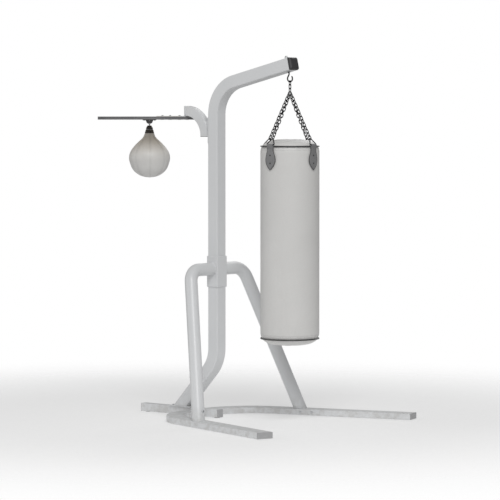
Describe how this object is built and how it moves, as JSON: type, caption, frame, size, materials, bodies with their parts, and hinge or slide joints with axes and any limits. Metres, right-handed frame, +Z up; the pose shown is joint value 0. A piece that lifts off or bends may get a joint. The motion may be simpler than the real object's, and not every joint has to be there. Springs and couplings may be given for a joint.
{
  "type": "heavy bag and speed ball stand",
  "caption": "Free-standing boxing stand: a bent box-tube mast on arched legs holds a chain-hung heavy bag on one side and a speed ball under a round platform on the other.",
  "frame": {"origin": "on the floor, straight below the upright part of the mast, at the underside of a foot pad", "axes": "+X toward the heavy bag, -X toward the speed ball platform, +Z up, Y across the stand"},
  "size_m": [1.8424, 1.466, 2.1625],
  "materials": {
    "frame_paint": "satin powder coat",
    "cap_plastic": "moulded, fine grain",
    "cap_grey": "moulded, fine grain",
    "pad_rubber": "matte",
    "zinc_steel": "zinc plated",
    "black_steel": "blackened, oiled",
    "swivel_steel": "polished",
    "socket_metal": "black gloss enamel",
    "board_wood": "clear lacquered birch ply",
    "band_plastic": "ironed edge strip",
    "bag_leather": "coated hide, fine grain",
    "tab_leather": "thick strap leather",
    "piping_leather": "glossy welt",
    "bag_fill": "packed textile",
    "ball_leather": "stitched panels",
    "ball_rubber": "latex bladder"
  },
  "bodies": {
    "stand": {"lower_mast": "frame_paint", "upper_mast": "frame_paint", "arm_end_cap": "cap_plastic", "collar": "frame_paint", "collar_bolts": "zinc_steel", "left_leg": "frame_paint", "right_leg": "frame_paint", "leg_stubs": "frame_paint", "leg_bolts": "zinc_steel", "left_bow": "frame_paint", "right_bow": "frame_paint", "left_runner": "frame_paint", "right_runner": "frame_paint", "left_joint_sleeve": "frame_paint", "right_joint_sleeve": "frame_paint", "joint_bolts": "zinc_steel", "runner_caps": "cap_grey", "spine_bar": "frame_paint", "spine_caps": "cap_grey", "mast_foot_plate": "frame_paint", "foot_bolts": "zinc_steel", "base_pads": "pad_rubber", "elbow_saddle": "frame_paint", "saddle_bolts": "zinc_steel", "bracket_elbow": "frame_paint", "elbow_cap": "cap_plastic", "board_bracket": "frame_paint", "platform_board": "board_wood", "board_edge_band": "band_plastic", "board_bolts": "zinc_steel", "board_tee_nuts": "zinc_steel", "swivel_socket": "socket_metal", "swivel_screws": "zinc_steel", "hook": "black_steel", "hook_washers": "zinc_steel", "hook_nut": "zinc_steel"},
    "first_link": {"hook_link": "black_steel"},
    "drop_chain": {"drop_links": "black_steel"},
    "heavy_bag": {"gather_ring": "black_steel", "front_chain": "black_steel", "rear_chain": "black_steel", "left_chain": "black_steel", "right_chain": "black_steel", "triangle_rings": "black_steel", "bag_tabs": "tab_leather", "tab_rivets": "black_steel", "bag_shell": "bag_leather", "bag_top_cap": "bag_leather", "bag_bottom_cap": "bag_leather", "bag_piping": "piping_leather", "bag_filler": "bag_fill"},
    "swivel_ball": {"swivel_ball": "swivel_steel"},
    "swivel_stem": {"swivel_stem": "swivel_steel"},
    "speed_ball": {"neck_cap": "socket_metal", "neck_pin": "swivel_steel", "speed_ball_skin": "ball_leather", "speed_ball_bladder": "ball_rubber"}
  },
  "joints": [
    {"name": "bag_swing", "type": "hinge", "parent": "stand", "child": "first_link", "pos_m": [0.571, 0, 2.02932], "axis": [0, 1, 0], "range_deg": [-20, 9]},
    {"name": "bag_sway", "type": "hinge", "parent": "first_link", "child": "drop_chain", "pos_m": [0.571, 0, 1.99762], "axis": [1, 0, 0], "range_deg": [-9, 9]},
    {"name": "bag_twist", "type": "hinge", "parent": "drop_chain", "child": "heavy_bag", "pos_m": [0.571, 0, 1.93957], "axis": [0, 0, 1], "range_deg": [-20, 20]},
    {"name": "ball_swing", "type": "hinge", "parent": "stand", "child": "swivel_ball", "pos_m": [-0.549, 0, 1.771], "axis": [0, 1, 0], "range_deg": [-22, 22]},
    {"name": "ball_spin", "type": "hinge", "parent": "swivel_ball", "child": "swivel_stem", "pos_m": [-0.549, 0, 1.771], "axis": [0, 0, 1], "continuous": true},
    {"name": "ball_rock", "type": "hinge", "parent": "swivel_stem", "child": "speed_ball", "pos_m": [-0.549, 0, 1.745], "axis": [1, 0, 0], "range_deg": [-18, 18]}
  ]
}
